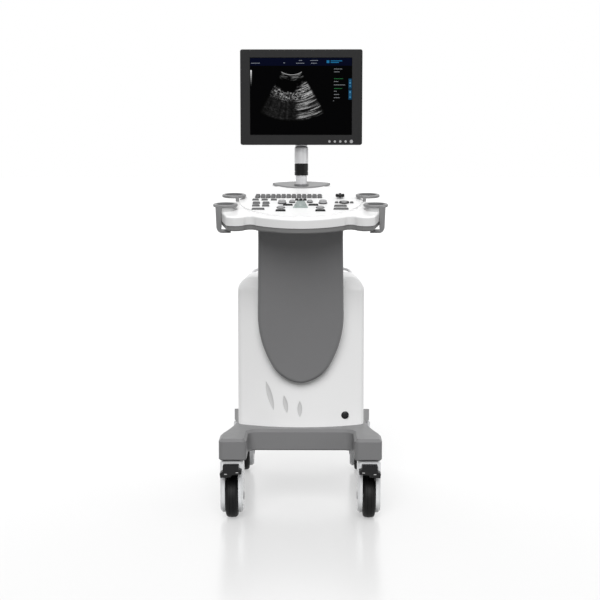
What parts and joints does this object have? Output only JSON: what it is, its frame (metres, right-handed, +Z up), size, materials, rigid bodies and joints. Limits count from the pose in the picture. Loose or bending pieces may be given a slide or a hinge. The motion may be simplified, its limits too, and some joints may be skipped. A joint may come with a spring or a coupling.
{
  "type": "ultrasound machine",
  "caption": "Trolley ultrasound machine: tilting monitor on a short mast, sloping control console with probe holders, curved column, white cabinet and a base on braked casters.",
  "frame": {"origin": "on the floor under the middle of the machine's overall box", "axes": "+Z up, +Y from the operator's side towards the rear, +X to the operator's right"},
  "size_m": [0.489, 0.7151, 1.343],
  "materials": {
    "white_gloss_plastic": "gloss",
    "base_grey_plastic": "satin",
    "column_grey_plastic": "satin",
    "trim_grey_plastic": "satin",
    "holder_grey_plastic": "satin",
    "panel_white_plastic": "satin",
    "key_grey": "satin",
    "key_black": "satin",
    "trackball_grey_green": "satin",
    "ball_grey": "gloss",
    "knob_grey": "satin",
    "monitor_black_plastic": "satin",
    "screen": "gloss",
    "button_grey": "satin",
    "mast_silver": "satin",
    "collar_black": "satin",
    "socket_grey": "satin",
    "frame_steel": "satin",
    "chassis_steel": "satin",
    "sheet_metal": "satin",
    "inlet_black": "satin",
    "tyre_rubber": "matte",
    "hub_grey": "satin",
    "caster_white_plastic": "gloss",
    "pedal_black": "satin"
  },
  "bodies": {
    "base": {"base_cover": "base_grey_plastic", "base_chassis": "chassis_steel", "cabinet_front_shell": "white_gloss_plastic", "cabinet_rear_shell": "white_gloss_plastic", "column_cover": "column_grey_plastic", "column_spine": "chassis_steel", "rear_handle": "mast_silver", "rear_panel": "trim_grey_plastic", "rear_sockets": "inlet_black", "power_supply": "sheet_metal", "electronics_unit": "sheet_metal", "fan_frame": "inlet_black", "console_top": "white_gloss_plastic", "console_tray": "trim_grey_plastic", "control_panel": "panel_white_plastic", "trackball_ring": "trackball_grey_green", "pole_dish": "holder_grey_plastic", "pole_socket": "socket_grey", "probe_holder_front_left": "holder_grey_plastic", "probe_holder_front_right": "holder_grey_plastic", "probe_holder_rear_left": "holder_grey_plastic", "probe_holder_rear_right": "holder_grey_plastic"},
    "caster_front_left": {"caster_front_left_housing": "caster_white_plastic", "caster_front_left_pins": "frame_steel"},
    "wheel_front_left": {"caster_front_left_hub": "hub_grey", "caster_front_left_tyre": "tyre_rubber"},
    "pedal_front_left": {"caster_front_left_pedal": "pedal_black"},
    "caster_front_right": {"caster_front_right_housing": "caster_white_plastic", "caster_front_right_pins": "frame_steel"},
    "wheel_front_right": {"caster_front_right_hub": "hub_grey", "caster_front_right_tyre": "tyre_rubber"},
    "pedal_front_right": {"caster_front_right_pedal": "pedal_black"},
    "caster_rear_left": {"caster_rear_left_housing": "caster_white_plastic", "caster_rear_left_pins": "frame_steel"},
    "wheel_rear_left": {"caster_rear_left_hub": "hub_grey", "caster_rear_left_tyre": "tyre_rubber"},
    "caster_rear_right": {"caster_rear_right_housing": "caster_white_plastic", "caster_rear_right_pins": "frame_steel"},
    "wheel_rear_right": {"caster_rear_right_hub": "hub_grey", "caster_rear_right_tyre": "tyre_rubber"},
    "power_button": {"power_button": "key_black"},
    "keyboard_keys": {"keyboard_keys": "key_grey"},
    "function_keys": {"function_keys": "key_grey"},
    "soft_keys": {"soft_keys": "key_black"},
    "cross_pad": {"cross_pad": "key_black"},
    "trackball": {"trackball": "ball_grey"},
    "left_gain_knob": {"left_gain_knob": "knob_grey"},
    "right_gain_knob": {"right_gain_knob": "knob_grey"},
    "left_menu_knob": {"left_menu_knob": "knob_grey"},
    "right_menu_knob": {"right_menu_knob": "knob_grey"},
    "dial_ring": {"dial_ring": "key_black"},
    "fan_rotor": {"fan_rotor": "inlet_black"},
    "mast": {"mast_tube": "mast_silver", "mast_sleeve": "mast_silver"},
    "mast_collar": {"mast_collar": "collar_black"},
    "monitor_neck": {"monitor_yoke": "frame_steel"},
    "monitor": {"monitor_bezel": "monitor_black_plastic", "monitor_rear_cover": "monitor_black_plastic", "lcd_panel": "screen"},
    "monitor_buttons": {"monitor_buttons": "button_grey"}
  },
  "joints": [
    {"name": "caster_front_left_swivel", "type": "hinge", "parent": "base", "child": "caster_front_left", "pos_m": [-0.195, -0.27, 0.18], "axis": [0, 0, 1], "continuous": true},
    {"name": "wheel_front_left_spin", "type": "hinge", "parent": "caster_front_left", "child": "wheel_front_left", "pos_m": [-0.195, -0.242, 0.0625], "axis": [1, 0, 0], "continuous": true},
    {"name": "pedal_front_left_rock", "type": "hinge", "parent": "caster_front_left", "child": "pedal_front_left", "pos_m": [-0.195, -0.31, 0.158], "axis": [0, 1, 0], "range_deg": [0, 14]},
    {"name": "caster_front_right_swivel", "type": "hinge", "parent": "base", "child": "caster_front_right", "pos_m": [0.195, -0.27, 0.18], "axis": [0, 0, 1], "continuous": true},
    {"name": "wheel_front_right_spin", "type": "hinge", "parent": "caster_front_right", "child": "wheel_front_right", "pos_m": [0.195, -0.242, 0.0625], "axis": [1, 0, 0], "continuous": true},
    {"name": "pedal_front_right_rock", "type": "hinge", "parent": "caster_front_right", "child": "pedal_front_right", "pos_m": [0.195, -0.31, 0.158], "axis": [0, 1, 0], "range_deg": [-14, 0]},
    {"name": "caster_rear_left_swivel", "type": "hinge", "parent": "base", "child": "caster_rear_left", "pos_m": [-0.19, 0.2675, 0.18], "axis": [0, 0, 1], "continuous": true},
    {"name": "wheel_rear_left_spin", "type": "hinge", "parent": "caster_rear_left", "child": "wheel_rear_left", "pos_m": [-0.19, 0.2955, 0.0625], "axis": [1, 0, 0], "continuous": true},
    {"name": "caster_rear_right_swivel", "type": "hinge", "parent": "base", "child": "caster_rear_right", "pos_m": [0.19, 0.2675, 0.18], "axis": [0, 0, 1], "continuous": true},
    {"name": "wheel_rear_right_spin", "type": "hinge", "parent": "caster_rear_right", "child": "wheel_rear_right", "pos_m": [0.19, 0.2955, 0.0625], "axis": [1, 0, 0], "continuous": true},
    {"name": "power_button_push", "type": "slide", "parent": "base", "child": "power_button", "axis": [0, 1, 0], "range_m": [0, 0.003], "stiffness_N_per_m": 400, "springref_m": -0.002},
    {"name": "keyboard_keys_press", "type": "slide", "parent": "base", "child": "keyboard_keys", "axis": [0, 0.1874, -0.9823], "range_m": [0, 0.0015], "stiffness_N_per_m": 900, "springref_m": -0.0015},
    {"name": "function_keys_press", "type": "slide", "parent": "base", "child": "function_keys", "axis": [0, 0.1874, -0.9823], "range_m": [0, 0.0015], "stiffness_N_per_m": 900, "springref_m": -0.0015},
    {"name": "soft_keys_press", "type": "slide", "parent": "base", "child": "soft_keys", "axis": [0, 0.1874, -0.9823], "range_m": [0, 0.0015], "stiffness_N_per_m": 900, "springref_m": -0.0015},
    {"name": "cross_pad_press", "type": "slide", "parent": "base", "child": "cross_pad", "axis": [0, 0.1874, -0.9823], "range_m": [0, 0.0015], "stiffness_N_per_m": 900, "springref_m": -0.0015},
    {"name": "trackball_roll", "type": "hinge", "parent": "base", "child": "trackball", "pos_m": [0, -0.21557, 0.88617], "axis": [1, 0, 0], "continuous": true},
    {"name": "left_gain_knob_turn", "type": "hinge", "parent": "base", "child": "left_gain_knob", "pos_m": [-0.053, -0.18413, 0.89217], "axis": [0, -0.1874, 0.9823], "continuous": true},
    {"name": "right_gain_knob_turn", "type": "hinge", "parent": "base", "child": "right_gain_knob", "pos_m": [0.063, -0.18413, 0.89217], "axis": [0, -0.1874, 0.9823], "continuous": true},
    {"name": "left_menu_knob_turn", "type": "hinge", "parent": "base", "child": "left_menu_knob", "pos_m": [-0.0245, -0.17235, 0.89441], "axis": [0, -0.1874, 0.9823], "continuous": true},
    {"name": "right_menu_knob_turn", "type": "hinge", "parent": "base", "child": "right_menu_knob", "pos_m": [0.026, -0.17235, 0.89441], "axis": [0, -0.1874, 0.9823], "continuous": true},
    {"name": "dial_ring_turn", "type": "hinge", "parent": "base", "child": "dial_ring", "pos_m": [0.1235, -0.17824, 0.89329], "axis": [0, -0.1874, 0.9823], "continuous": true},
    {"name": "fan_spin", "type": "hinge", "parent": "base", "child": "fan_rotor", "pos_m": [0, 0.281, 0.49], "axis": [0, 1, 0], "continuous": true},
    {"name": "mast_lift", "type": "slide", "parent": "base", "child": "mast", "axis": [0, 0, 1], "range_m": [0, 0.04]},
    {"name": "collar_turn", "type": "hinge", "parent": "mast", "child": "mast_collar", "pos_m": [0, 0.048, 0.99], "axis": [0, 0, 1], "range_deg": [0, 60]},
    {"name": "monitor_swivel", "type": "hinge", "parent": "mast", "child": "monitor_neck", "pos_m": [0, 0.048, 1.06], "axis": [0, 0, 1], "range_deg": [-90, 90]},
    {"name": "monitor_tilt", "type": "hinge", "parent": "monitor_neck", "child": "monitor", "pos_m": [0, 0.048, 1.09], "axis": [1, 0, 0], "range_deg": [-20, 5]},
    {"name": "monitor_buttons_push", "type": "slide", "parent": "monitor", "child": "monitor_buttons", "axis": [0, 1, 0], "range_m": [0, 0.001], "stiffness_N_per_m": 500, "springref_m": -0.001}
  ]
}
